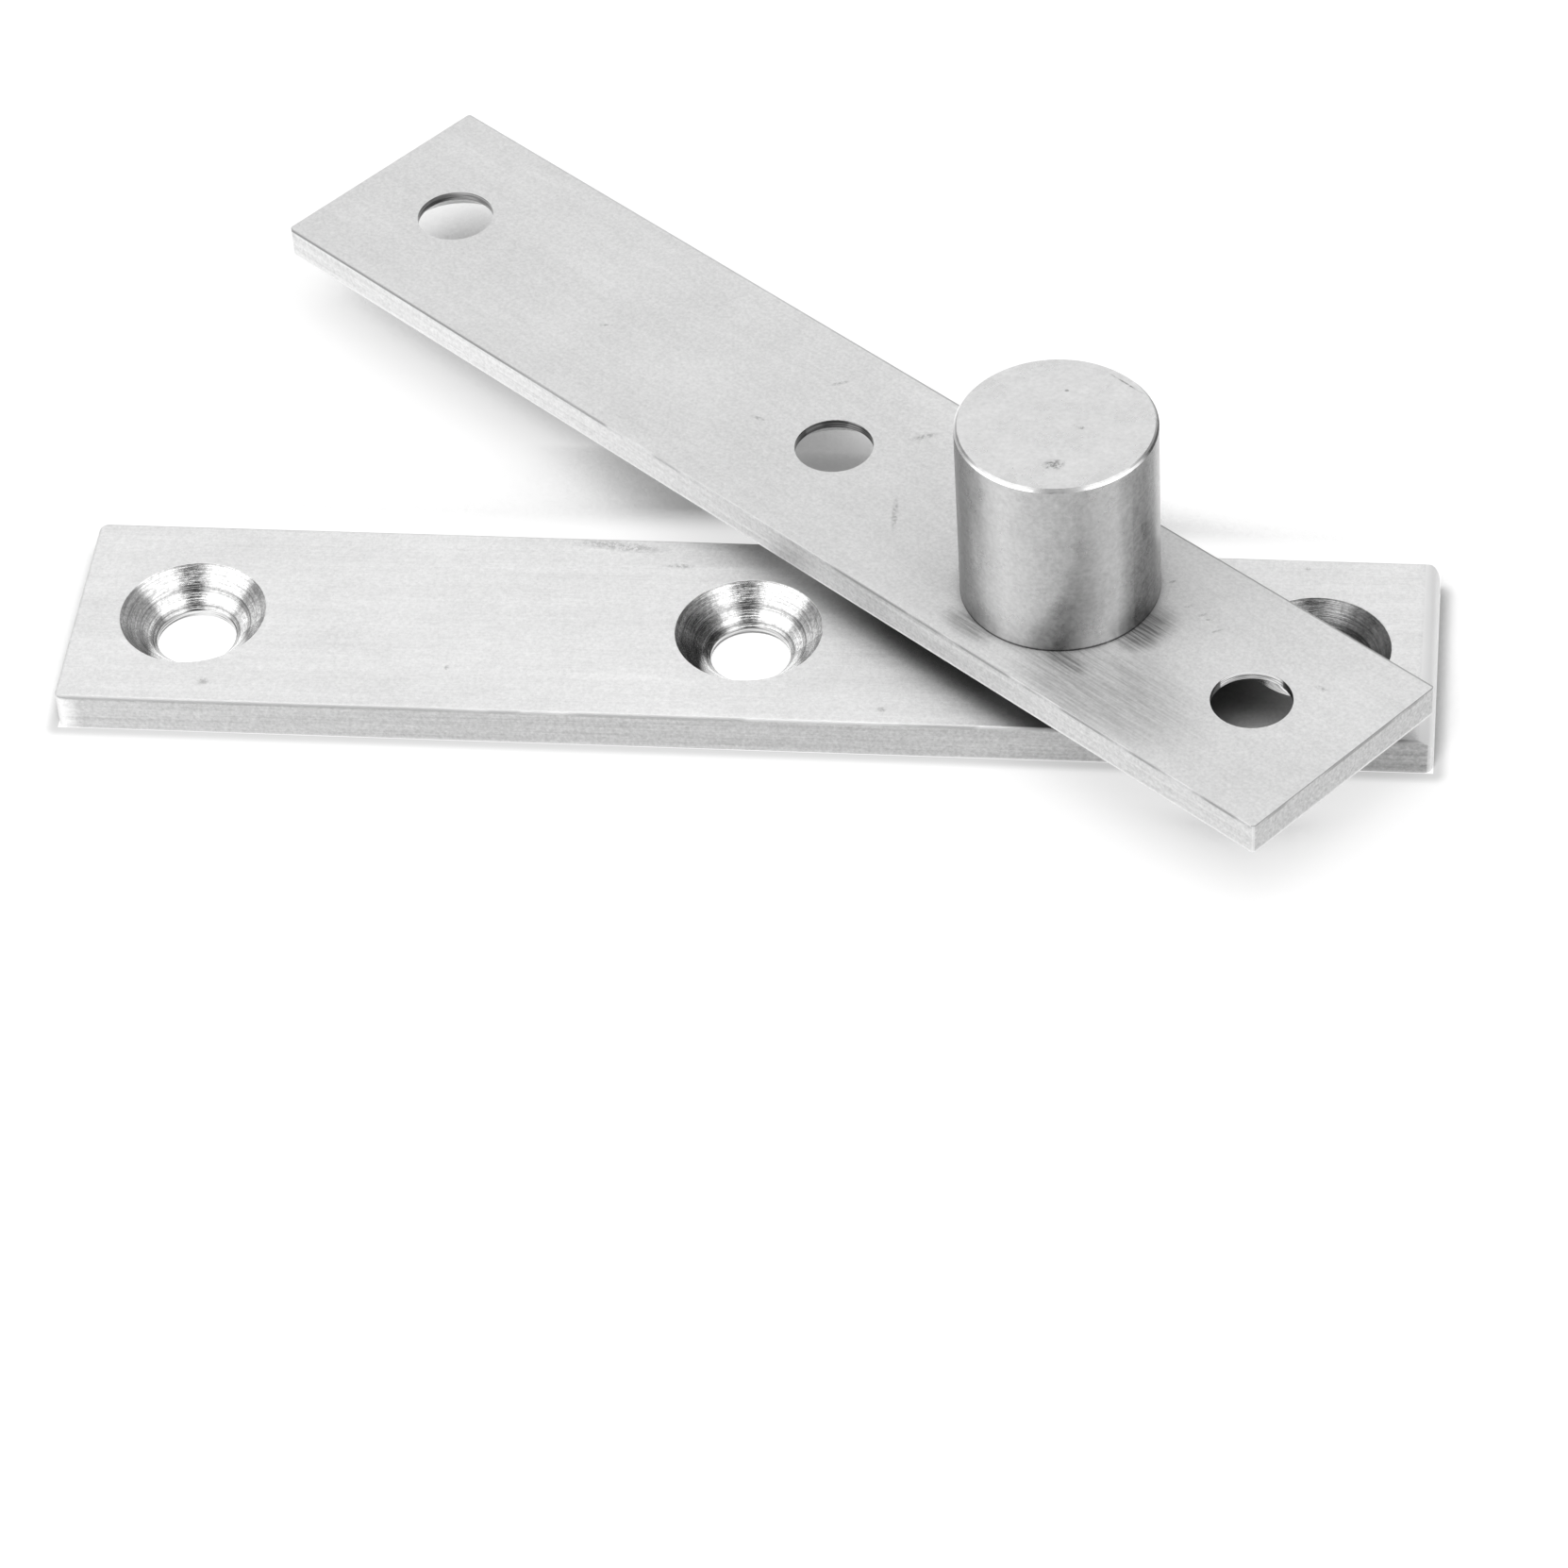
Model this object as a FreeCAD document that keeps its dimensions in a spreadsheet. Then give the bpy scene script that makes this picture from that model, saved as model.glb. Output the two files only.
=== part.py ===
import FreeCAD, Part
import math
import os
import re
import Sketcher

# Pivot hinge for a door: two flat leaves that turn on each other about one vertical axis.
# Units are millimetres. The frame is +Z up, with the origin on the pivot axis at the
# underside of the lower leaf. Each leaf has a long arm towards -X and a short arm towards +X.
#
# The lower leaf (frame plate) is screwed to the floor or the door frame. A turned spindle is
# riveted into it and stands up through the upper leaf. The upper leaf (door plate) is screwed
# to the door, and carries a closed housing that turns on the spindle. Between the leaves a
# thrust roller bearing takes the door's weight. In the housing a bush takes the side load, and
# the spindle's head above it keeps the two leaves together.

doc = FreeCAD.newDocument("pivot_hinge")

# Driving sizes: name, value, what it is
SIZES = [
    ("rest_angle", 39.0, "angle between the two leaves as stored, in degrees"),
    ("frame_plate_length", 100.0, "lower leaf, end to end"),
    ("frame_plate_width", 19.1, "lower leaf, side to side"),
    ("frame_plate_thickness", 3.0, "lower leaf"),
    ("frame_plate_short_arm", 27.1, "lower leaf, pivot axis to its near end"),
    ("frame_plate_corner", 0.7, "lower leaf, corner radius seen from above"),
    ("frame_plate_edge", 0.25, "lower leaf, rounding of its top edge"),
    ("near_end_radius", 1.3, "lower leaf, rounding along the top of its near end"),
    ("door_plate_length", 100.0, "upper leaf, end to end"),
    ("door_plate_width", 19.1, "upper leaf, side to side"),
    ("door_plate_thickness", 2.5, "upper leaf"),
    ("door_plate_short_arm", 27.1, "upper leaf, pivot axis to its near end"),
    ("door_plate_corner", 0.3, "upper leaf, corner radius seen from above"),
    ("door_plate_edge", 0.05, "upper leaf, chamfer round its top edge"),
    ("screw_hole_diameter", 5.9, "clearance hole for the fixing screws, both leaves"),
    ("screw_end_margin", 8.7, "end of a leaf to its nearest screw hole"),
    ("frame_plate_mouth", 10.9, "lower leaf, diameter of its countersinks at the top"),
    ("door_plate_mouth", 9.5, "upper leaf, diameter of its countersinks underneath"),
    ("countersink_angle", 90.0, "included angle of every countersink, in degrees"),
    ("journal_diameter", 8.0, "spindle where it runs in the bush"),
    ("tenon_step", 0.75, "spindle, shoulder from the journal in to the riveted tenon"),
    ("rivet_flare", 1.3, "spindle's riveted foot, how far it spreads and how deep"),
    ("head_thickness", 4.0, "spindle's head, which holds the leaves together"),
    ("head_clearance", 0.2, "spindle's head to the wall of the bore, radial"),
    ("head_room", 0.7, "top of the spindle's head to the closed end of the bore"),
    ("head_edge", 0.4, "spindle, chamfer round the top of its head"),
    ("end_play", 0.1, "underside of the head to its washer"),
    ("running_clearance", 0.03, "journal to bush, radial"),
    ("bush_wall", 0.97, "bush, from its bore to its outside"),
    ("bush_lead", 0.3, "bush, chamfer that leads it into the housing"),
    ("head_washer_thickness", 0.8, "washer between the bush and the spindle's head"),
    ("washer_clearance", 0.1, "journal to the bore of each washer, radial"),
    ("housing_wall", 2.25, "housing, from its bore to its outside"),
    ("housing_height", 15.1, "housing above the upper leaf"),
    ("housing_cap", 2.0, "housing's closed top"),
    ("housing_edge", 0.25, "housing, chamfer round the top"),
    ("spigot_wall", 1.0, "housing's spigot through the upper leaf"),
    ("stake_flare", 0.5, "spigot's staked rim, how far it spreads and how deep"),
    ("race_width", 2.9, "race washer, bore to outside, radial"),
    ("race_thickness", 0.74, "race washer"),
    ("roller_diameter", 1.5, "thrust rollers"),
    ("roller_length", 1.9, "thrust rollers"),
    ("roller_count", 12, "thrust rollers"),
    ("roller_clearance", 0.01, "roller to the face of each race washer"),
    ("pocket_clearance", 0.05, "roller to its pocket in the cage, on every side"),
    ("cage_bore_clearance", 0.2, "journal to the cage's bore, radial"),
    ("cage_inset", 0.1, "outside of the races in to the outside of the cage"),
    ("cage_clearance", 0.16, "cage to the face of each race washer"),
]

# Sizes that follow from the driving ones. Radii are from the pivot axis.
JOURNAL = "(journal_diameter / 2)"
TENON = f"({JOURNAL} - tenon_step)"
FOOT = f"({TENON} + rivet_flare)"
BUSH_BORE = f"({JOURNAL} + running_clearance)"
BORE = f"({BUSH_BORE} + bush_wall)"
HEAD = f"({BORE} - head_clearance)"
SPIGOT = f"({BORE} + spigot_wall)"
STAKE = f"({SPIGOT} + stake_flare)"
HOUSING = f"({BORE} + housing_wall)"
WASHER_BORE = f"({JOURNAL} + washer_clearance)"
RACE_OUTSIDE = f"({WASHER_BORE} + race_width)"
PITCH = f"({WASHER_BORE} + race_width / 2)"
CAGE_BORE = f"({JOURNAL} + cage_bore_clearance)"
CAGE_OUTSIDE = f"({RACE_OUTSIDE} - cage_inset)"
ROLLER_START = f"({PITCH} - roller_length / 2)"

# Heights above the underside of the lower leaf
RACE_FACE = "(frame_plate_thickness + race_thickness)"
ROLLER_AXIS = f"({RACE_FACE} + roller_clearance + roller_diameter / 2)"
FACE_GAP = "(roller_diameter + 2 * roller_clearance)"
CAGE_THICKNESS = f"({FACE_GAP} - 2 * cage_clearance)"
DOOR_UNDERSIDE = f"({RACE_FACE} + {FACE_GAP} + race_thickness)"

# Heights above the underside of the upper leaf
HOUSING_TOP = "(door_plate_thickness + housing_height)"
BORE_END = f"({HOUSING_TOP} - housing_cap)"
HEAD_TOP = f"({BORE_END} - head_room)"
HEAD_UNDERSIDE = f"({HEAD_TOP} - head_thickness)"
BUSH_LENGTH = f"({HEAD_UNDERSIDE} - end_play - head_washer_thickness)"

# Centre and radius of a sketch's first rough shape, before its dimensions move it
START_CENTRE, START_RADIUS = 20.0, 9.0

# An edge whose ends differ in height by less than this is level
LEVEL = 1e-6

sheet = doc.addObject("Spreadsheet::Sheet", "sizes")
for row, (name, value, note) in enumerate(SIZES, start=1):
    sheet.set(f"A{row}", name)
    sheet.set(f"B{row}", str(value))
    sheet.set(f"C{row}", note)
    sheet.setAlias(f"B{row}", name)
doc.recompute()


def bound(formula):
    """The formula with the sheet's name put before each size in it."""
    return re.sub(r"[a-z][a-z_]+", lambda word: "sizes." + word.group(), formula)


def new_body(name):
    body = doc.addObject("PartDesign::Body", name)
    body.Label = name
    return body


def stand(piece, height, on_door=False):
    """Stand a piece at its height, and turn it with the upper leaf if it rides there."""
    piece.setExpression(".Placement.Base.z", bound(height))
    if on_door:
        piece.setExpression(".Placement.Rotation.Angle", bound("0 - rest_angle"))


def origin_item(body, role):
    """The plane or axis of a body's own origin that plays the role."""
    return next(item for item in body.Origin.OriginFeatures if item.Role == role)


def sketch_on(body, role, name, height="0"):
    sketch = body.newObject("Sketcher::SketchObject", name)
    sketch.AttachmentSupport = [(origin_item(body, role), "")]
    sketch.MapMode = "FlatFace"
    sketch.setExpression(".AttachmentOffset.Base.z", bound(height))
    return sketch


def constrain(sketch, name, constraint, formula):
    """Add a dimension to the sketch and bind it to a formula."""
    sketch.renameConstraint(sketch.addConstraint(constraint), name)
    sketch.setExpression(f".Constraints.{name}", bound(formula))


def fix_point(sketch, item, point, across, up):
    """Hold a point of the sketch at two formulas, measured from the sketch's origin."""
    for kind, formula, axis in (("DistanceX", across, -2), ("DistanceY", up, -1)):
        if formula == "0":
            sketch.addConstraint(Sketcher.Constraint("PointOnObject", item, point, axis))
        else:
            distance = Sketcher.Constraint(kind, -1, 1, item, point, 1.0)
            constrain(sketch, f"{kind}_{item}", distance, formula)


def start_point(across, up):
    """A point of a first rough shape, given in radii from its centre."""
    return FreeCAD.Vector(START_CENTRE + START_RADIUS * across, START_CENTRE + START_RADIUS * up, 0)


def draw_outline(sketch, corners):
    """A closed straight-sided outline through corners given as pairs of formulas."""
    count = len(corners)
    turns = [2 * math.pi * k / count for k in range(count)]
    start = [start_point(math.cos(a), math.sin(a)) for a in turns]
    for k in range(count):
        sketch.addGeometry(Part.LineSegment(start[k], start[(k + 1) % count]), False)
    for k in range(count):
        sketch.addConstraint(Sketcher.Constraint("Coincident", k, 2, (k + 1) % count, 1))
    for k, (across, up) in enumerate(corners):
        fix_point(sketch, k, 1, across, up)


def draw_circle(sketch, across, up, radius):
    circle = Part.Circle(start_point(0, 0), FreeCAD.Vector(0, 0, 1), START_RADIUS)
    item = sketch.addGeometry(circle, False)
    fix_point(sketch, item, 3, across, up)
    constrain(sketch, f"Radius_{item}", Sketcher.Constraint("Radius", item, 1.0), radius)


def turn(body, kind, name, sketch, axis="V_Axis"):
    """Turn a sketch once round an axis of its own, to add metal or to take it away."""
    feature = body.newObject("PartDesign::" + kind, name)
    feature.Profile = sketch
    feature.ReferenceAxis = (sketch, [axis])
    feature.Angle = 360.0
    doc.recompute()
    return feature


def turned_body(name, corners):
    """A body turned about the pivot axis, from its half section."""
    body = new_body(name)
    section = sketch_on(body, "XZ_Plane", name + "_section")
    draw_outline(section, corners)
    turn(body, "Revolution", name + "_blank", section)
    return body


def must_have_cut(body, before):
    if body.Shape.Volume >= before:
        raise RuntimeError(f"the last feature of {body.Label} took no metal away")


def dress_edges(body, kind, base, name, size, chosen):
    """Round or chamfer the edges of a feature that the test picks out."""
    edges = [f"Edge{k}" for k, edge in enumerate(base.Shape.Edges, 1) if chosen(edge)]
    dressing = body.newObject("PartDesign::" + kind, name)
    dressing.Base = (base, edges)
    dressing.setExpression({"Fillet": ".Radius", "Chamfer": ".Size"}[kind], bound(size))
    doc.recompute()
    return dressing


def is_upright(edge):
    box = edge.BoundBox
    return box.XLength + box.YLength < box.ZLength


def is_in_top_face(edge):
    return edge.BoundBox.ZLength < LEVEL < edge.BoundBox.ZMin


def leaf(name, pivot_hole, mouth_up, edge_kind):
    """A flat leaf: rounded corners, three countersunk screw holes, and the pivot's hole."""
    body = new_body(name)
    length, half_width = name + "_length", f"({name}_width / 2)"
    near = name + "_short_arm"
    far = f"({near} - {length})"
    outline = sketch_on(body, "XY_Plane", name + "_outline")
    side, other_side = half_width, f"(0 - {half_width})"
    draw_outline(outline, [(far, other_side), (near, other_side), (near, side), (far, side)])
    blank = body.newObject("PartDesign::Pad", name + "_blank")
    blank.Profile = outline
    blank.setExpression(".Length", bound(name + "_thickness"))
    doc.recompute()
    cornered = dress_edges(body, "Fillet", blank, name + "_corners", name + "_corner", is_upright)
    dress_edges(body, edge_kind, cornered, name + "_top_edge", name + "_edge", is_in_top_face)

    before = body.Shape.Volume
    top = name + "_thickness" if mouth_up else "0"
    places = sketch_on(body, "XY_Plane", name + "_screw_places", top)
    for across in (f"{far} + screw_end_margin", f"{near} - {length} / 2", f"{near} - screw_end_margin"):
        draw_circle(places, across, "0", "screw_hole_diameter / 2")
    holes = body.newObject("PartDesign::Hole", name + "_screw_holes")
    holes.Profile = places
    doc.recompute()
    holes.Reversed = not mouth_up
    holes.DepthType = "ThroughAll"
    holes.HoleCutType = "Countersink"
    holes.HoleCutCustomValues = True
    holes.setExpression(".Diameter", bound("screw_hole_diameter"))
    holes.setExpression(".HoleCutDiameter", bound(name + "_mouth"))
    holes.setExpression(".HoleCutCountersinkAngle", bound("countersink_angle"))
    doc.recompute()
    must_have_cut(body, before)

    before = body.Shape.Volume
    section = sketch_on(body, "XZ_Plane", name + "_pivot_section")
    draw_outline(section, pivot_hole)
    turn(body, "Groove", name + "_pivot_hole", section)
    must_have_cut(body, before)
    return body


def round_near_end(body):
    """Take the top of the lower leaf's near end off to a quarter round."""
    before = body.Shape.Volume
    end, top, radius = "frame_plate_short_arm", "frame_plate_thickness", "near_end_radius"
    section = sketch_on(body, "XZ_Plane", "near_end_section")
    circle = Part.Circle(start_point(0, 0), FreeCAD.Vector(0, 0, 1), START_RADIUS)
    arc = section.addGeometry(Part.ArcOfCircle(circle, 0, math.pi / 2), False)
    flat = section.addGeometry(Part.LineSegment(start_point(0, 1), start_point(1, 1)), False)
    upright = section.addGeometry(Part.LineSegment(start_point(1, 1), start_point(1, 0)), False)
    for item, follower in ((arc, flat), (flat, upright), (upright, arc)):
        section.addConstraint(Sketcher.Constraint("Coincident", item, 2, follower, 1))
    section.addConstraint(Sketcher.Constraint("Horizontal", arc, 1, arc, 3))
    section.addConstraint(Sketcher.Constraint("Vertical", arc, 2, arc, 3))
    section.addConstraint(Sketcher.Constraint("Horizontal", flat))
    section.addConstraint(Sketcher.Constraint("Vertical", upright))
    constrain(section, "end_radius", Sketcher.Constraint("Radius", arc, 1.0), radius)
    fix_point(section, arc, 3, f"{end} - {radius}", f"{top} - {radius}")
    rounding = body.newObject("PartDesign::Pocket", "near_end_rounding")
    rounding.Profile = section
    rounding.Midplane = True
    rounding.setExpression(".Length", bound("2 * frame_plate_width"))
    doc.recompute()
    must_have_cut(body, before)


def frame_plate():
    """Lower leaf, with its hole spread underneath for the spindle's riveted foot."""
    through = "frame_plate_thickness"
    hole = [("0", "0"), (FOOT, "0"), (TENON, "rivet_flare"), (TENON, through), ("0", through)]
    body = leaf("frame_plate", hole, mouth_up=True, edge_kind="Fillet")
    round_near_end(body)
    return body


def door_plate():
    """Upper leaf, with its hole spread underneath for the housing's staked spigot."""
    through = "door_plate_thickness"
    hole = [("0", "0"), (STAKE, "0"), (SPIGOT, "stake_flare"), (SPIGOT, through), ("0", through)]
    body = leaf("door_plate", hole, mouth_up=False, edge_kind="Chamfer")
    stand(body, DOOR_UNDERSIDE, on_door=True)
    return body


def pivot_spindle():
    """One turned piece: riveted foot, tenon, shoulder on the leaf, journal and head."""
    shoulder = "frame_plate_thickness"
    neck = f"{DOOR_UNDERSIDE} + {HEAD_UNDERSIDE}"
    top = f"{DOOR_UNDERSIDE} + {HEAD_TOP}"
    return turned_body("pivot_spindle", [
        ("0", "0"), (FOOT, "0"), (TENON, "rivet_flare"), (TENON, shoulder),
        (JOURNAL, shoulder), (JOURNAL, neck), (HEAD, neck),
        (HEAD, f"{top} - head_edge"), (f"{HEAD} - head_edge", top), ("0", top),
    ])


def pivot_housing():
    """Closed cup on the upper leaf. Its spigot goes through the leaf and is staked below."""
    shoulder = "door_plate_thickness"
    body = turned_body("pivot_housing", [
        (BORE, "0"), (STAKE, "0"), (SPIGOT, "stake_flare"), (SPIGOT, shoulder),
        (HOUSING, shoulder), (HOUSING, f"{HOUSING_TOP} - housing_edge"),
        (f"{HOUSING} - housing_edge", HOUSING_TOP), ("0", HOUSING_TOP),
        ("0", BORE_END), (BORE, BORE_END),
    ])
    stand(body, DOOR_UNDERSIDE, on_door=True)
    return body


def journal_bush():
    """Plain bearing pressed into the housing from below."""
    body = turned_body("journal_bush", [
        (BUSH_BORE, "0"), (BORE, "0"), (BORE, f"{BUSH_LENGTH} - bush_lead"),
        (f"{BORE} - bush_lead", BUSH_LENGTH), (BUSH_BORE, BUSH_LENGTH),
    ])
    stand(body, DOOR_UNDERSIDE, on_door=True)
    return body


def flat_ring(name, inside, outside, thickness):
    return turned_body(name, [
        (inside, "0"), (outside, "0"), (outside, thickness), (inside, thickness),
    ])


def head_washer():
    """Washer that lies on the bush, under the spindle's head."""
    body = flat_ring("head_washer", WASHER_BORE, HEAD, "head_washer_thickness")
    stand(body, f"{DOOR_UNDERSIDE} + {BUSH_LENGTH}", on_door=True)
    return body


def roller_cage():
    """Flat ring whose pockets are parts of cylinders, narrower at both faces than a roller."""
    body = flat_ring("roller_cage", CAGE_BORE, CAGE_OUTSIDE, CAGE_THICKNESS)
    before = body.Shape.Volume
    inner = f"{ROLLER_START} - pocket_clearance"
    outer = f"{ROLLER_START} + roller_length + pocket_clearance"
    middle = f"{CAGE_THICKNESS} / 2"
    side = f"{middle} + roller_diameter / 2 + pocket_clearance"
    section = sketch_on(body, "XZ_Plane", "pocket_section")
    draw_outline(section, [(inner, middle), (outer, middle), (outer, side), (inner, side)])
    ends = section.Geometry[0].StartPoint, section.Geometry[0].EndPoint
    axis = section.addGeometry(Part.LineSegment(*ends), True)
    section.addConstraint(Sketcher.Constraint("Coincident", 0, 1, axis, 1))
    section.addConstraint(Sketcher.Constraint("Coincident", 0, 2, axis, 2))
    pocket = turn(body, "Groove", "pocket", section, "Axis0")
    must_have_cut(body, before)

    pockets = body.newObject("PartDesign::PolarPattern", "pockets")
    pockets.Originals = [pocket]
    pockets.Axis = (origin_item(body, "Z_Axis"), [""])
    pockets.Angle = 360.0
    pockets.setExpression(".Occurrences", bound("roller_count"))
    body.Tip = pockets
    doc.recompute()
    stand(body, f"{RACE_FACE} + cage_clearance")
    return body


def thrust_rollers():
    """One roller in each pocket, on the lower race, each with its axis through the pivot's."""
    count = round(float(sheet.roller_count))
    side, end = "roller_diameter / 2", "roller_length"
    rollers = []
    for k in range(count):
        across, along = math.cos(2 * math.pi * k / count), math.sin(2 * math.pi * k / count)
        name = f"thrust_roller_{k + 1:02d}"
        roller = turned_body(name, [("0", "0"), (side, "0"), (side, end), ("0", end)])
        outwards = FreeCAD.Rotation(FreeCAD.Vector(-along, across, 0), 90)
        roller.Placement = FreeCAD.Placement(FreeCAD.Vector(), outwards)
        roller.setExpression(".Placement.Base.x", f"{bound(ROLLER_START)} * {across:.12f}")
        roller.setExpression(".Placement.Base.y", f"{bound(ROLLER_START)} * {along:.12f}")
        roller.setExpression(".Placement.Base.z", bound(ROLLER_AXIS))
        rollers.append(roller)
    return rollers


def lower_race():
    body = flat_ring("lower_race", WASHER_BORE, RACE_OUTSIDE, "race_thickness")
    stand(body, "frame_plate_thickness")
    return body


def upper_race():
    body = flat_ring("upper_race", WASHER_BORE, RACE_OUTSIDE, "race_thickness")
    stand(body, f"{DOOR_UNDERSIDE} - race_thickness", on_door=True)
    return body


pieces = [
    frame_plate(), pivot_spindle(), lower_race(), roller_cage(), *thrust_rollers(),
    upper_race(), door_plate(), pivot_housing(), journal_bush(), head_washer(),
]
doc.recompute()

for item in doc.Objects:
    if {"Invalid", "Error"} & set(item.State):
        raise RuntimeError(f"{item.Name} failed: {item.State}")
os.makedirs("parts", exist_ok=True)
for piece in pieces:
    shape = piece.Shape
    if shape.isNull() or not shape.isValid() or len(shape.Solids) != 1:
        raise RuntimeError(f"{piece.Label} is not one valid solid")
    shape.exportStep(f"parts/{piece.Label}.step")
    box = shape.BoundBox
    low = f"{box.XMin:.3f} {box.YMin:.3f} {box.ZMin:.3f}"
    high = f"{box.XMax:.3f} {box.YMax:.3f} {box.ZMax:.3f}"
    print(f"{piece.Label}: {shape.Volume:.3f} mm3, from {low} to {high}")
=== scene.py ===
import math

import bpy
from mathutils import Matrix, Vector

# Pivot hinge on a white floor, seen from the front and above. All lengths are in metres.

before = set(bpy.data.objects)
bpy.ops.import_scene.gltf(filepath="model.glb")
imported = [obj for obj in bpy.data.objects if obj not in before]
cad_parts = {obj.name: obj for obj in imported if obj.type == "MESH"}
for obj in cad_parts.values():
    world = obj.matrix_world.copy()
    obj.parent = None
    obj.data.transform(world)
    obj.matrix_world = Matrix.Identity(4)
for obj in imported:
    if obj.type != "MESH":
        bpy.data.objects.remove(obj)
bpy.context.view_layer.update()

# Sizes of the leaves and the housing that the materials and the floor need
LEAF_ANGLE = math.radians(39)
SHORT_ARM = 0.0271
LEAF_LENGTH = 0.100
LEAF_WIDTH = 0.0191
HALF_WIDTH = LEAF_WIDTH / 2
HOLE_SPACING = 0.0413
MIDDLE_HOLE = SHORT_ARM - LEAF_LENGTH / 2
HOLE_RADIUS = 0.00295
MOUTH_RADIUS = 0.00545
FRAME_LOW = 0.0
FRAME_TOP = 0.003
DOOR_LOW = 0.006
DOOR_TOP = 0.0085
HOUSING_TOP = 0.0236

# Small marks on the steel: place along and across the leaf, half length, half width, turn in degrees
FRAME_MARKS = (
    (-0.0622, -0.0074, 0.0005, 0.0004, 0),
    (-0.0335, 0.0087, 0.0040, 0.0006, -6),
    (-0.0288, 0.0067, 0.0012, 0.0003, 0),
    (-0.0124, -0.0080, 0.0004, 0.0003, 0),
    (-0.0445, -0.0051, 0.0002, 0.0003, 0),
    (0.0174, 0.0085, 0.0003, 0.0002, 0),
)
DOOR_MARKS = (
    (-0.0294, -0.0015, 0.0007, 0.0002, 15),
    (-0.0276, 0.0054, 0.0008, 0.0002, 60),
    (-0.0458, -0.0015, 0.0008, 0.00016, 39),
    (-0.0142, -0.0025, 0.0020, 0.00025, -50),
    (-0.0186, 0.0052, 0.0012, 0.0003, 60),
    (0.0213, 0.0041, 0.0006, 0.00025, 10),
    (0.0059, 0.0055, 0.0004, 0.00015, 70),
    (0.0086, 0.0044, 0.0005, 0.00016, 60),
    (0.0099, 0.0043, 0.0004, 0.00014, 75),
    (0.0106, 0.0042, 0.0003, 0.00012, 40),
    (0.0118, 0.0037, 0.0005, 0.00012, 65),
)
HOUSING_MARKS = (
    (0.0002, -0.0044, 0.0008, 0.0006, 0),
    (-0.0003, -0.0046, 0.0004, 0.0003, 0),
    (0.0005, 0.0036, 0.0002, 0.00015, 0),
    (0.0018, -0.0004, 0.00025, 0.0002, 0),
    (0.0047, 0.0045, 0.0018, 0.00008, -40),
)

# How far above and below its face a mark or a shade reaches
MARK_DEPTH = 0.0002

# Painted soft shades and dark reflections of the housing beside its foot: place along and across the leaf,
# half length, half width, strength
DOOR_SHADES = (
    (0.0090, -0.0060, 0.0095, 0.0052, 0.30),
    (0.0078, 0.0002, 0.0021, 0.0032, 0.60),
    (0.0059, -0.0058, 0.0030, 0.0014, 0.50),
    (-0.0018, -0.0076, 0.0028, 0.0012, 0.40),
)

# What sets each leaf apart. Tones go from 0, black, to 1, white. The tones of the ends, the rounded
# near end, the sides and the holes' walls differ from the top's as painted reflection and shade. Those of
# the sides and of the holes' walls follow the place along the leaf, from the far end, below 0, to the near
# one. The edge-line strength sets how strong the painted lines of shade and highlight along the edges are.
FRAME_LEAF = {
    "angle": 0.0,
    "low": FRAME_LOW,
    "high": FRAME_TOP,
    "top_tone": 0.79,
    "end_tone": 0.75,
    "round_end_tone": 0.85,
    "side_tones": (
        (-0.0722, 1.0), (-0.0712, 0.68), (-0.05, 0.62), (0.0, 0.58), (0.015, 0.55), (0.028, 0.44),
    ),
    "wall_tones": ((-0.07, 0.5), (0.03, 0.5)),
    "painted_edge_lines": 0.3,
    "marks": FRAME_MARKS,
    "shades": (),
}
DOOR_LEAF = {
    "angle": LEAF_ANGLE,
    "low": DOOR_LOW,
    "high": DOOR_TOP,
    "top_tone": 0.76,
    "end_tone": 0.6,
    "round_end_tone": 0.35,
    "side_tones": (
        (-0.073, 0.82), (-0.045, 0.84), (-0.03, 0.84), (-0.011, 0.66), (0.0, 0.7), (0.028, 0.72),
    ),
    "wall_tones": ((-0.07, 0.32), (-0.02, 0.25), (0.0, 0.35), (0.012, 0.8)),
    "painted_edge_lines": 1.0,
    "marks": DOOR_MARKS,
    "shades": DOOR_SHADES,
}

# Tones that both leaves share: of the marks, of the painted lines of shade at the back and top edges, of
# the painted highlights along the foot and on the corners, and of the underside painted dark as shade
LEAF_MARK_TONE = 0.25
BACK_EDGE_SHADE_TONE = 0.25
TOP_EDGE_SHADE_TONE = 0.3
FOOT_HIGHLIGHT_TONE = 1.0
CORNER_HIGHLIGHT_TONE = 0.9
UNDERSIDE_SHADE_TONE = 0.1
COUNTERSINK_GLOSS = 0.14

# Tones across a countersink from its hole to its mouth, by the distance from the hole's axis
COUNTERSINK_TONES = (
    (0.0030, 0.9), (0.0032, 0.35), (0.0034, 1.0), (0.0039, 0.9), (0.0041, 0.4), (0.0043, 0.75), (0.0056, 0.7),
)

# Painted lines of shade and highlight along the leaves' edges: how far in from the edge they are full and
# where they have faded
LINE_FULL = 0.0001
LINE_FADED = 0.00022
SLOPE_FADED = 0.00028

# Distances from the pivot axis at which the shade of the other leaf has gone, and is full
NEAR_PIVOT = (0.022, 0.012)

# Grain, as noise scales along X or the leaf, across it, and upwards
FINE_BRUSHING = (110, 5200, 5200)
COARSE_BRUSHING = (35, 900, 900)
SIDE_SCORES = (60, 3600, 3600)
HOLE_TURNS = (250, 250, 7000)
SHADE_STREAKS = (260, 5200, 5200)
HOUSING_LINES = (350, 350, 2600)

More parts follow.
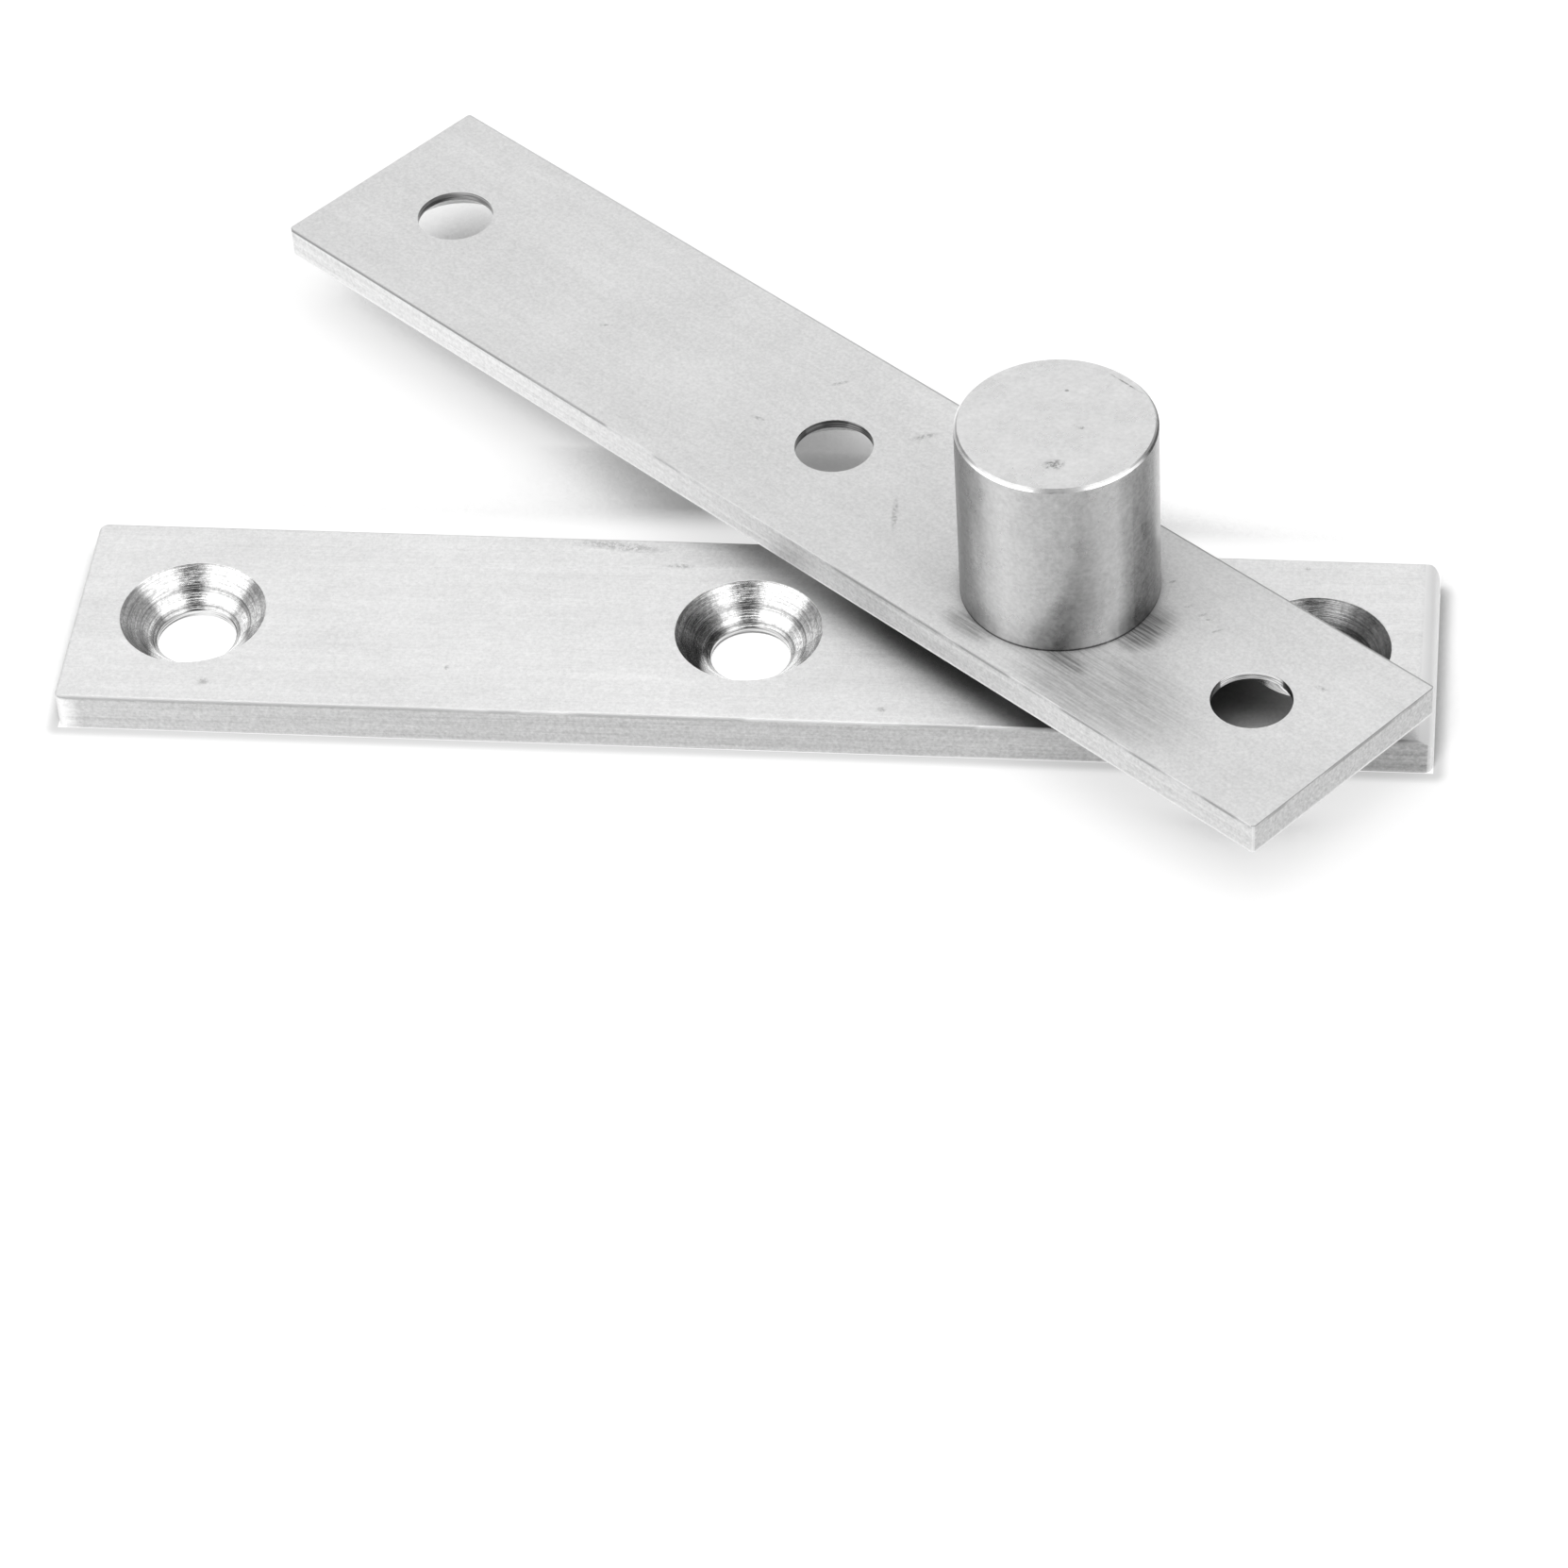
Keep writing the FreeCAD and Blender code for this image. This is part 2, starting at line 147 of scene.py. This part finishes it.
# Reflections round the housing's side, by how far it faces this direction: -1 at its left edge in the
# photograph, 1 at its right one
RIGHT_OF_FRONT = (0.988, 0.152, 0)
SIDE_TONES = (
    (-0.96, 0.24), (-0.88, 0.40), (-0.76, 0.57), (-0.60, 0.62), (-0.45, 0.55), (-0.30, 0.49), (-0.05, 0.42),
    (0.12, 0.42), (0.30, 0.54), (0.50, 0.56), (0.65, 0.31), (0.80, 0.22), (0.90, 0.22), (0.99, 0.50),
)
# Painted highlights and shade on the housing's rim, by the same facing
RIM_REFLECTION_TONES = (
    (-0.92, 0.2), (-0.84, 1.0), (-0.25, 1.0), (-0.2, 0.6), (0.12, 0.6), (0.18, 1.0), (0.55, 1.0), (0.62, 0.2),
)
# Tones of the painted light at the rim's upper edge, of the painted dark reflection over the foot, of the
# dark joint line, of the end, and of its marks
UPPER_RIM_REFLECTION_TONE = 0.62
DARK_REFLECTION_TONE = 0.15
JOINT_LINE_TONE = 0.06
HOUSING_END_TONE = 0.78
HOUSING_MARK_TONE = 0.15

# Floor: its size, how far it lies under the lower leaf, its colour, the light that it adds where it is
# seen, how much more it adds in the lower leaf's holes, and where its shade looks for light
FLOOR_SIZE = 6
FLOOR_DROP = 0.00003
FLOOR_COLOUR = 0.4
FLOOR_GLOW = 0.65
HOLE_GLOW = 0.1
UP_TO_FRONT = (0, -0.87, 0.5)

# Softboxes: azimuth and elevation, how far from its middle each is full and where it has faded, all in
# degrees, and its strength, below 0 for the dark place round the camera
SOFTBOXES = (
    (9, 80, 12, 28, 2.4),
    (-171, 44, 15, 35, 0.2),
    (-60, 40, 26, 36, 1.2),
    (65, 40, 22, 30, 1.2),
    (9, 45, 15, 22, -0.45),
)
HORIZON_LEVEL = 0.34
SKY_LEVEL = 0.48

# Camera: where it stands, which way it looks, its lens and sensor in millimetres, and the nearest and
# furthest that it sees
CAMERA_PLACE = Vector((0.02919, -0.32593, 0.30220))
CAMERA_FORWARD = Vector((-0.11036, 0.71498, -0.69038))
CAMERA_UP = Vector((-0.03436, 0.69146, 0.72159))
CAMERA_LENS = 140.07
CAMERA_SENSOR = 36
CAMERA_NEAREST = 0.01
CAMERA_FURTHEST = 20


def feed(tree, socket, value):
    """Link a socket to an input, or set the input's value."""
    if isinstance(value, bpy.types.NodeSocket):
        tree.links.new(value, socket)
    else:
        socket.default_value = value


def add(tree, kind, inputs=None, **settings):
    """Add a node with its settings, and feed its inputs by name or number."""
    node = tree.nodes.new(kind)
    for name, value in settings.items():
        setattr(node, name, value)
    for key, value in (inputs or {}).items():
        feed(tree, node.inputs[key], value)
    return node


def maths(tree, operation, *values):
    node = add(tree, "ShaderNodeMath", dict(enumerate(values)), operation=operation)
    return node.outputs[0]


def vector_maths(tree, operation, *values, output="Vector"):
    node = add(tree, "ShaderNodeVectorMath", dict(enumerate(values)), operation=operation)
    return node.outputs[output]


def times(tree, *values):
    result = values[0]
    for value in values[1:]:
        result = maths(tree, "MULTIPLY", result, value)
    return result


def plus(tree, *values):
    result = values[0]
    for value in values[1:]:
        result = maths(tree, "ADD", result, value)
    return result


def minus(tree, first, second):
    return maths(tree, "SUBTRACT", first, second)


def absolute(tree, value):
    return maths(tree, "ABSOLUTE", value)


def highest(tree, first, second):
    return maths(tree, "MAXIMUM", first, second)


def distance(tree, x, y):
    """Distance from an axis, from the offsets in two directions."""
    return maths(tree, "SQRT", plus(tree, times(tree, x, x), times(tree, y, y)))


def combine(tree, x, y, z):
    return add(tree, "ShaderNodeCombineXYZ", {0: x, 1: y, 2: z}).outputs[0]


def separate(tree, vector):
    return add(tree, "ShaderNodeSeparateXYZ", {0: vector}).outputs


def grey(tree, value):
    return combine(tree, value, value, value)


def blend(tree, factor, first, second):
    """Number between first and second."""
    return add(tree, "ShaderNodeMix", {0: factor, 2: first, 3: second}, data_type="FLOAT").outputs[0]


def mapped(tree, value, span, levels=(0.0, 1.0), smooth=True):
    """The value carried from a span to a pair of levels, and held at the ends."""
    return add(
        tree, "ShaderNodeMapRange",
        {"Value": value, "From Min": span[0], "From Max": span[1], "To Min": levels[0], "To Max": levels[1]},
        interpolation_type="SMOOTHSTEP" if smooth else "LINEAR",
    ).outputs[0]


def within(tree, value, low, high, soft):
    """1 between two levels and 0 outside them, with soft ends."""
    above = mapped(tree, value, (low - soft, low))
    below = mapped(tree, value, (high, high + soft), (1.0, 0.0))
    return times(tree, above, below)


def ramp(tree, value, stops):
    """Number that follows a few stops, each a place and its level, with straight lines between."""
    first, last = stops[0][0], stops[-1][0]
    node = add(tree, "ShaderNodeValToRGB", {0: mapped(tree, value, (first, last), smooth=False)})
    elements = node.color_ramp.elements
    while len(elements) < len(stops):
        elements.new(0.5)
    for element, (place, level) in zip(elements, stops):
        element.position = (place - first) / (last - first)
        element.color = (level, level, level, 1)
    return separate(tree, node.outputs["Color"])[0]


def noise(tree, vector, scale, detail=2.0, roughness=0.5):
    return add(
        tree, "ShaderNodeTexNoise",
        {"Vector": vector, "Scale": scale, "Detail": detail, "Roughness": roughness},
    ).outputs["Fac"]


def drawn_noise(tree, place, scales, detail=3.0, roughness=0.7):
    """Noise with a scale of its own in each direction."""
    return noise(tree, vector_maths(tree, "MULTIPLY", place, scales), 1.0, detail, roughness)


def ripple(tree, pattern, strength):
    """What a pattern adds to a tone or takes from it."""
    return times(tree, strength, minus(tree, pattern, 0.5))


def new_material(name):
    material = bpy.data.materials.new(name)
    material.use_nodes = True
    tree = material.node_tree
    return material, tree, tree.nodes["Principled BSDF"]


def roughen(tree, shader, height, strength, depth):
    """Fine relief on a surface."""
    bump = add(tree, "ShaderNodeBump", {"Height": height, "Strength": strength, "Distance": depth})
    feed(tree, shader.inputs["Normal"], bump.outputs[0])


def tint(tree, shader, pattern, first, second):
    """Base colour between two colours, by a pattern."""
    colours = {0: pattern, 6: first + (1,), 7: second + (1,)}
    feed(tree, shader.inputs["Base Color"], add(tree, "ShaderNodeMix", colours, data_type="RGBA").outputs[2])


def object_place(tree):
    return add(tree, "ShaderNodeTexCoord").outputs["Object"]


def along_leaf(tree, angle):
    """Place on a leaf, with X along it and Y across it."""
    return add(
        tree, "ShaderNodeMapping",
        {"Vector": object_place(tree), "Rotation": (0, 0, angle)},
    ).outputs[0]


def across_brushing(tree, angle):
    """The direction across a leaf's brushing, turned with the leaf in every pose."""
    return add(
        tree, "ShaderNodeVectorTransform",
        {0: (math.sin(angle), math.cos(angle), 0)},
        vector_type="VECTOR", convert_from="OBJECT", convert_to="WORLD",
    ).outputs[0]


def facing(tree, direction, space="Object"):
    """How far the surface faces a direction, from -1 to 1."""
    if space == "Object":
        normal = add(tree, "ShaderNodeTexCoord").outputs["Normal"]
    else:
        normal = add(tree, "ShaderNodeNewGeometry").outputs["Normal"]
    return vector_maths(tree, "DOT_PRODUCT", normal, direction, output="Value")


def spot(tree, place, centre, half_length, half_width, turn):
    """1 on a small oval of a flat face, and 0 away from it."""
    oval = {
        "Vector": place,
        "Location": centre,
        "Rotation": (0, 0, math.radians(turn)),
        "Scale": (half_length, half_width, MARK_DEPTH),
    }
    near = add(tree, "ShaderNodeMapping", oval, vector_type="TEXTURE").outputs[0]
    return mapped(tree, vector_maths(tree, "LENGTH", near, output="Value"), (0.3, 1.2), (1.0, 0.0))


def marks(tree, place, top, spots):
    """Small marks on a face at one height, broken up by fine noise."""
    pattern = noise(tree, place, 3500.0, detail=3.0, roughness=0.7)
    total = 0.0
    for x, y, half_length, half_width, turn in spots:
        total = highest(tree, total, spot(tree, place, (x, y, top), half_length, half_width, turn))
    return times(tree, total, mapped(tree, pattern, (0.4, 0.6), (0.15, 1.0)))


def shades(tree, place, top, spots):
    """Painted soft shades and dark reflections on a face at one height, drawn out along the leaf."""
    pattern = drawn_noise(tree, place, SHADE_STREAKS)
    total = 0.0
    for x, y, half_length, half_width, strength in spots:
        shade = times(tree, spot(tree, place, (x, y, top), half_length, half_width, 0), strength)
        total = highest(tree, total, shade)
    return times(tree, total, mapped(tree, pattern, (0.35, 0.65), (1.3, 0.6)))


def open_sky(tree, reach, span, darkest, towards_light=None):
    """How open a place is, straight out from it or towards a light: 1 in the open, least where hemmed in."""
    shelter = add(tree, "ShaderNodeAmbientOcclusion", {"Distance": reach}, samples=12)
    if towards_light:
        feed(tree, shelter.inputs["Normal"], combine(tree, *towards_light))
    return mapped(tree, shelter.outputs["AO"], span, (darkest, 1.0))


def countersink(tree, place, leaf):
    """Where a leaf's countersinks and holes are, how far the hole's axis is, and the cutter's rings."""
    x, y, z = separate(tree, place)
    steps = maths(tree, "DIVIDE", minus(tree, x, MIDDLE_HOLE), HOLE_SPACING)
    from_hole = times(tree, minus(tree, steps, maths(tree, "ROUND", steps)), HOLE_SPACING)
    radius = distance(tree, from_hole, y)
    inside = mapped(tree, radius, (MOUTH_RADIUS + 0.0002, MOUTH_RADIUS + 0.0001))
    turned = times(tree, inside, within(tree, z, leaf["low"] + 0.00004, leaf["high"] - 0.00004, soft=0.00002))
    across = combine(tree, times(tree, radius, 7500), times(tree, from_hole, 110), times(tree, y, 110))
    rings = noise(tree, across, 1.0, detail=4.0, roughness=0.75)
    return turned, radius, rings


def leaf_top(tree, place, leaf, grain, speckle):
    """Top of a leaf, with its marks, painted shade beside what stands on it, and a painted dark line at its
    back edge.
    """
    x, y = separate(tree, place)[:2]
    cloud = noise(tree, place, 150.0, detail=3.0, roughness=0.6)
    tone = plus(
        tree, leaf["top_tone"],
        ripple(tree, grain, strength=0.17),
        ripple(tree, cloud, strength=0.13),
        ripple(tree, speckle, strength=0.32),
    )
    worn = times(tree, 0.55, marks(tree, place, leaf["high"], leaf["marks"]))
    tone = blend(tree, worn, tone, LEAF_MARK_TONE)

    # Painted shades and dark reflections beside the housing's foot, and the shade that follows the other
    # leaf, which is only near the pivot, where the leaves are close in every pose
    lit = minus(tree, 1.0, shades(tree, place, leaf["high"], leaf["shades"]))
    near_pivot = mapped(tree, distance(tree, x, y), NEAR_PIVOT)
    openness = open_sky(tree, reach=0.007, span=(0.28, 0.65), darkest=0.12)
    tone = times(tree, tone, lit, blend(tree, near_pivot, 1.0, openness))

    # Painted line of shade along the back edge, fainter towards the far end
    at_back = mapped(tree, y, (HALF_WIDTH - LINE_FADED, HALF_WIDTH - LINE_FULL), (0.0, leaf["painted_edge_lines"]))
    back_line = times(tree, at_back, mapped(tree, x, (-0.06, 0.0), (0.2, 0.75)))
    return blend(tree, back_line, tone, BACK_EDGE_SHADE_TONE)


def leaf_sides(tree, place, leaf, grain, speckle, painted_edge_shade, ahead, aside):
    """Cut sides and ends of a leaf in painted reflection and shade: a painted broken line of shade under the
    top, and painted highlights on the corners and along the foot.
    """
    x, y, z = separate(tree, place)
    low, high, painted_edge_lines = leaf["low"], leaf["high"], leaf["painted_edge_lines"]
    on_end = mapped(tree, absolute(tree, ahead), (0.5, 0.8))
    scores = drawn_noise(tree, place, SIDE_SCORES)
    streaks = plus(
        tree,
        ripple(tree, grain, strength=0.2),
        ripple(tree, scores, strength=0.35),
        ripple(tree, speckle, strength=0.42),
    )
    # The sides' tones along the leaf and the ends' tone are painted reflection and shade
    tone = blend(tree, on_end, ramp(tree, x, leaf["side_tones"]), leaf["end_tone"])
    tone = plus(tree, tone, streaks)
    # Painted broken line of shade under the top
    top_line = times(tree, painted_edge_shade, painted_edge_lines, within(tree, z, high - 0.00026, high - 0.00003, soft=0.00005))
    tone = blend(tree, top_line, tone, TOP_EDGE_SHADE_TONE)
    # Painted highlight along the foot
    foot = mapped(tree, z, (low + LINE_FADED, low + LINE_FULL), (0.0, 0.6))
    tone = blend(tree, times(tree, foot, painted_edge_lines), tone, FOOT_HIGHLIGHT_TONE)
    # Painted highlight on the corners
    corner = maths(tree, "MINIMUM", absolute(tree, ahead), absolute(tree, aside))
    return blend(tree, mapped(tree, corner, (0.3, 0.5), (0.0, 0.5)), tone, CORNER_HIGHLIGHT_TONE)


def leaf_holes(tree, place, leaf, radius, rings, speckle):
    """Countersinks, with painted shade where the upper leaf's near end lies over one, and the walls of the
    holes, darkened by painted shade along the leaf.
    """
    x = separate(tree, place)[0]
    # Countersink tones, cutter's rings, speckle, and painted shade on the near countersink
    tone = times(
        tree, ramp(tree, radius, COUNTERSINK_TONES),
        mapped(tree, rings, (0.32, 0.68), (0.55, 1.35)),
        mapped(tree, speckle, (0.35, 0.6), (0.75, 1.05)),
        mapped(tree, x, (0.008, 0.012), (1.0, 0.45)),
    )
    on_wall = mapped(tree, radius, (HOLE_RADIUS + 0.00015, HOLE_RADIUS + 0.00005))
    turns = drawn_noise(tree, place, HOLE_TURNS, detail=2.0, roughness=0.6)
    # The walls' tones along the leaf are painted shade
    wall_tone = times(tree, ramp(tree, x, leaf["wall_tones"]), mapped(tree, turns, (0.35, 0.65), (0.3, 1.6)))
    return blend(tree, on_wall, tone, wall_tone)


def leaf_steel(name, leaf):
    """Brushed stainless leaf with turned countersinks."""
    material, tree, shader = new_material(name)
    angle = leaf["angle"]
    place = along_leaf(tree, angle)
    x, y = separate(tree, place)[:2]
    up = facing(tree, (0, 0, 1))
    ahead = facing(tree, (math.cos(angle), -math.sin(angle), 0))
    aside = facing(tree, (math.sin(angle), math.cos(angle), 0))

    # Brushing along the leaf, fine speckle, and how strong the painted shade on its edges is, most at the far
    # end
    fine = drawn_noise(tree, place, FINE_BRUSHING)
    coarse = drawn_noise(tree, place, COARSE_BRUSHING, detail=2.0, roughness=0.5)
    grain = blend(tree, 0.35, fine, coarse)
    speckle = noise(tree, place, 3800.0, roughness=0.7)
    painted_edge_shade = mapped(tree, noise(tree, place, 160.0), (0.42, 0.55), (0.0, 0.7))
    painted_edge_shade = highest(tree, painted_edge_shade, mapped(tree, x, (-0.035, -0.05), (0.0, 0.9)))

    # Top and sides
    upright = mapped(tree, absolute(tree, up), (0.3, 0.2))
    top = leaf_top(tree, place, leaf, grain, speckle)
    sides = leaf_sides(tree, place, leaf, grain, speckle, painted_edge_shade, ahead, aside)
    tone = blend(tree, upright, top, sides)

    # Painted shade on the softened long edges, painted light and shade on the rounded near end, and the
    # underside painted dark as shade
    long_edge = mapped(tree, absolute(tree, y), (HALF_WIDTH - SLOPE_FADED, HALF_WIDTH - LINE_FULL))
    sloped = within(tree, up, 0.3, 0.94, soft=0.04)
    tone = blend(tree, times(tree, sloped, long_edge), tone, mapped(tree, painted_edge_shade, (0.0, 0.7), (0.75, 0.55)))
    near_end = within(tree, ahead, 0.12, 0.97, soft=0.05)
    rounded = within(tree, up, 0.1, 0.97, soft=0.02)
    tone = blend(tree, times(tree, near_end, rounded), tone, leaf["round_end_tone"])
    tone = blend(tree, mapped(tree, up, (-0.5, -0.9)), tone, UNDERSIDE_SHADE_TONE)

    # Countersinks and holes
    turned, radius, rings = countersink(tree, place, leaf)
    tone = blend(tree, turned, tone, leaf_holes(tree, place, leaf, radius, rings, speckle))

    feed(tree, shader.inputs["Base Color"], grey(tree, tone))
    brushed_gloss = mapped(tree, grain, (0.3, 0.7), (0.42, 0.52))
    feed(tree, shader.inputs["Roughness"], blend(tree, turned, brushed_gloss, COUNTERSINK_GLOSS))
    feed(tree, shader.inputs["Metallic"], blend(tree, highest(tree, turned, upright), 0.5, 1.0))
    shader.inputs["Anisotropic"].default_value = 0.7
    feed(tree, shader.inputs["Tangent"], across_brushing(tree, angle))
    roughen(tree, shader, blend(tree, turned, grain, rings), strength=0.5, depth=0.00005)
    return material


def housing_side(tree, low, high, z, up):
    """Side of the housing in painted reflections, with a painted dark reflection over its foot in front, a
    dark joint line and painted highlights on the rim.
    """
    round_side = facing(tree, RIGHT_OF_FRONT, space="World")

    # Reflections, deeper near the foot at the right edge, and brighter there beside it
    right_edge = mapped(tree, round_side, (0.55, 0.7))
    deeper = times(tree, right_edge, mapped(tree, z, (low, low + 0.012), (0.3, -0.15)))
    beside_it = within(tree, round_side, 0.2, 0.45, soft=0.12)
    brighter = times(tree, beside_it, mapped(tree, z, (low + 0.001, low + 0.0045), (0.22, 0.0)))
    strength = minus(tree, plus(tree, 1.0, brighter), deeper)
    tone = times(tree, ramp(tree, round_side, SIDE_TONES), strength)

    # Painted dark reflection over the foot, which narrows on its way up and leans to the left at the foot
    width = mapped(tree, z, (low, low + 0.008), (0.26, 0.08))
    from_dark_reflection = plus(tree, round_side, mapped(tree, z, (low + 0.001, low + 0.006), (0.17, -0.04)))
    widths_away = maths(tree, "DIVIDE", absolute(tree, from_dark_reflection), width)
    dark_reflection = mapped(tree, widths_away, (0.3, 1.2), (1.0, 0.0))
    dark_reflection = times(tree, dark_reflection, mapped(tree, z, (low, low + 0.008), (0.5, 0.0)))
    tone = blend(tree, dark_reflection, tone, DARK_REFLECTION_TONE)

    # Joint line at the leaf, and painted highlights and shade on the rounded rim
    joint_line = mapped(tree, z, (low + 0.0002, low + 0.00011), (0.0, 0.85))
    tone = blend(tree, joint_line, tone, JOINT_LINE_TONE)
    upper_rim = mapped(tree, z, (high - 0.00014, high - 0.0001))
    rim_reflection = blend(tree, upper_rim, ramp(tree, round_side, RIM_REFLECTION_TONES), UPPER_RIM_REFLECTION_TONE)
    return blend(tree, within(tree, up, 0.12, 0.94, soft=0.03), tone, rim_reflection)


def turned_steel(name, low, high):
    """Turned steel between its foot and its top: rings and marks on the end, and painted reflections round
    the side.
    """
    material, tree, shader = new_material(name)
    place = object_place(tree)
    x, y, z = separate(tree, place)
    up = facing(tree, (0, 0, 1))
    on_end = mapped(tree, up, (0.9, 0.98))
    lines = drawn_noise(tree, place, HOUSING_LINES, roughness=0.6)
    across = combine(tree, times(tree, distance(tree, x, y), 3000), times(tree, x, 100), times(tree, y, 100))
    rings = noise(tree, across, 1.0, detail=3.0)
    surface = blend(tree, on_end, lines, rings)
    cloud = noise(tree, place, 420.0, detail=4.0, roughness=0.65)
    speckle = noise(tree, place, 3000.0, roughness=0.6)

    tone = blend(tree, on_end, housing_side(tree, low, high, z, up), HOUSING_END_TONE)
    tone = plus(
        tree, tone,
        ripple(tree, cloud, strength=0.22),
        ripple(tree, speckle, strength=0.24),
        ripple(tree, surface, strength=0.06),
    )
    worn = times(tree, 0.8, marks(tree, place, high, HOUSING_MARKS))
    tone = blend(tree, worn, tone, HOUSING_MARK_TONE)

    feed(tree, shader.inputs["Base Color"], grey(tree, tone))
    feed(tree, shader.inputs["Roughness"], mapped(tree, cloud, (0.3, 0.7), (0.25, 0.36)))
    feed(tree, shader.inputs["Metallic"], blend(tree, on_end, 1.0, 0.5))
    roughen(tree, shader, surface, strength=0.25, depth=0.00003)
    return material


def plain_metal(name, colour, roughness, grain_scale):
    """Machined metal with fine grain in its colour, gloss and surface."""
    material, tree, shader = new_material(name)
    grain = noise(tree, object_place(tree), grain_scale, detail=4.0, roughness=0.6)
    tint(tree, shader, grain, tuple(0.9 * level for level in colour), colour)
    gloss = mapped(tree, grain, (0.3, 0.7), (roughness * 0.8, roughness * 1.2))
    feed(tree, shader.inputs["Roughness"], gloss)
    shader.inputs["Metallic"].default_value = 1.0
    roughen(tree, shader, grain, strength=0.1, depth=0.00002)
    return material


def nylon(name):
    """Pale plastic with faint clouds in its colour, gloss and surface."""
    material, tree, shader = new_material(name)
    cloud = noise(tree, object_place(tree), 900.0, detail=3.0, roughness=0.6)
    tint(tree, shader, cloud, (0.80, 0.79, 0.74), (0.87, 0.86, 0.82))
    feed(tree, shader.inputs["Roughness"], mapped(tree, cloud, (0.3, 0.7), (0.45, 0.6)))
    roughen(tree, shader, cloud, strength=0.1, depth=0.00002)
    return material


def dress():
    """Give every CAD node its material."""
    steel = turned_steel("turned_steel", DOOR_TOP, HOUSING_TOP)
    bearing = plain_metal("bearing_steel", (0.62, 0.62, 0.63), roughness=0.15, grain_scale=2500.0)
    brass = plain_metal("brass", (0.71, 0.53, 0.25), roughness=0.3, grain_scale=1800.0)
    plastic = nylon("nylon")
    materials = {
        "frame_plate": leaf_steel("frame_leaf_steel", FRAME_LEAF),
        "door_plate": leaf_steel("door_leaf_steel", DOOR_LEAF),
        "pivot_housing": steel,
        "pivot_spindle": steel,
        "journal_bush": brass,
        "head_washer": plastic,
    }
    for name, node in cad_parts.items():
        node.data.materials.clear()
        node.data.materials.append(materials.get(name, bearing))


def over_leaf(tree, x, y, margin, end_soft, side_soft):
    """1 on the lower leaf's footprint, with a margin beside its long sides, and 0 away from it."""
    along = within(tree, x, SHORT_ARM - LEAF_LENGTH, SHORT_ARM, end_soft)
    across = within(tree, y, -HALF_WIDTH - margin, HALF_WIDTH + margin, side_soft)
    return times(tree, along, across)


def white_floor():
    """White floor that shows the object's shadow."""
    bpy.ops.mesh.primitive_plane_add(size=FLOOR_SIZE, location=(0, 0, -FLOOR_DROP))
    floor = bpy.context.object
    floor.name = "floor"
    material, tree, shader = new_material("floor")
    x, y = separate(tree, object_place(tree))[:2]
    light_path = add(tree, "ShaderNodeLightPath").outputs

    # Shade under the object, left out beside the lower leaf, and a narrow one at that leaf's own edges
    in_leaf = over_leaf(tree, x, y, margin=0.0, end_soft=0.0001, side_soft=0.0001)
    beside_leaf = over_leaf(tree, x, y, margin=0.004, end_soft=0.0001, side_soft=0.005)
    openness = open_sky(tree, reach=0.014, span=(0.57, 0.77), darkest=0.32, towards_light=UP_TO_FRONT)
    at_edge = over_leaf(tree, x, y, margin=0.0, end_soft=0.0016, side_soft=0.0016)
    edge_seen = times(tree, light_path["Is Camera Ray"], at_edge)
    edge_shade = mapped(tree, edge_seen, (0.0, 1.0), (1.0, 0.68))
    contact = times(tree, highest(tree, beside_leaf, openness), highest(tree, in_leaf, edge_shade))

    feed(tree, shader.inputs["Base Color"], grey(tree, times(tree, contact, FLOOR_COLOUR)))
    shader.inputs["Roughness"].default_value = 1.0
    shader.inputs["Specular IOR Level"].default_value = 0.0
    seen = highest(tree, light_path["Is Camera Ray"], light_path["Is Glossy Ray"])
    glow = plus(tree, FLOOR_GLOW, times(tree, in_leaf, HOLE_GLOW))
    shader.inputs["Emission Color"].default_value = (1, 1, 1, 1)
    feed(tree, shader.inputs["Emission Strength"], times(tree, seen, contact, glow))
    floor.data.materials.append(material)


def towards(azimuth, elevation):
    """Direction from the object, with azimuth from the front round to the right, in degrees."""
    a, e = math.radians(azimuth), math.radians(elevation)
    return math.sin(a) * math.cos(e), -math.cos(a) * math.cos(e), math.sin(e)


def softbox(tree, direction, azimuth, elevation, full, faded, strength):
    """Light from one part of the studio: full to one angle from its middle, gone at the other."""
    near = vector_maths(tree, "DOT_PRODUCT", direction, towards(azimuth, elevation), output="Value")
    span = (math.cos(math.radians(faded)), math.cos(math.radians(full)))
    return mapped(tree, near, span, (0.0, strength))


def studio():
    """White studio with a softbox above, behind and on each side, and a dark place round the camera."""
    world = bpy.data.worlds.new("studio")
    bpy.context.scene.world = world
    world.use_nodes = True
    tree = world.node_tree
    direction = add(tree, "ShaderNodeTexCoord").outputs["Generated"]
    level = mapped(tree, separate(tree, direction)[2], (0.15, 0.5), (HORIZON_LEVEL, SKY_LEVEL))
    for values in SOFTBOXES:
        level = plus(tree, level, softbox(tree, direction, *values))
    camera_ray = add(tree, "ShaderNodeLightPath").outputs["Is Camera Ray"]
    background = tree.nodes["Background"]
    feed(tree, background.inputs["Color"], grey(tree, blend(tree, camera_ray, level, 1.0)))
    background.inputs["Strength"].default_value = 1.0


def camera():
    """Camera that sees the object as the photograph does."""
    data = bpy.data.cameras.new("camera")
    data.sensor_fit = "HORIZONTAL"
    data.sensor_width = CAMERA_SENSOR
    data.lens = CAMERA_LENS
    data.clip_start = CAMERA_NEAREST
    data.clip_end = CAMERA_FURTHEST
    item = bpy.data.objects.new("camera", data)
    bpy.context.scene.collection.objects.link(item)
    back = -CAMERA_FORWARD.normalized()
    right = CAMERA_UP.cross(back).normalized()
    turn = Matrix((right, back.cross(right), back)).transposed().to_4x4()
    item.matrix_world = Matrix.Translation(CAMERA_PLACE) @ turn
    bpy.context.scene.camera = item


bpy.context.scene.view_settings.view_transform = "Standard"
camera()
studio()
white_floor()
dress()
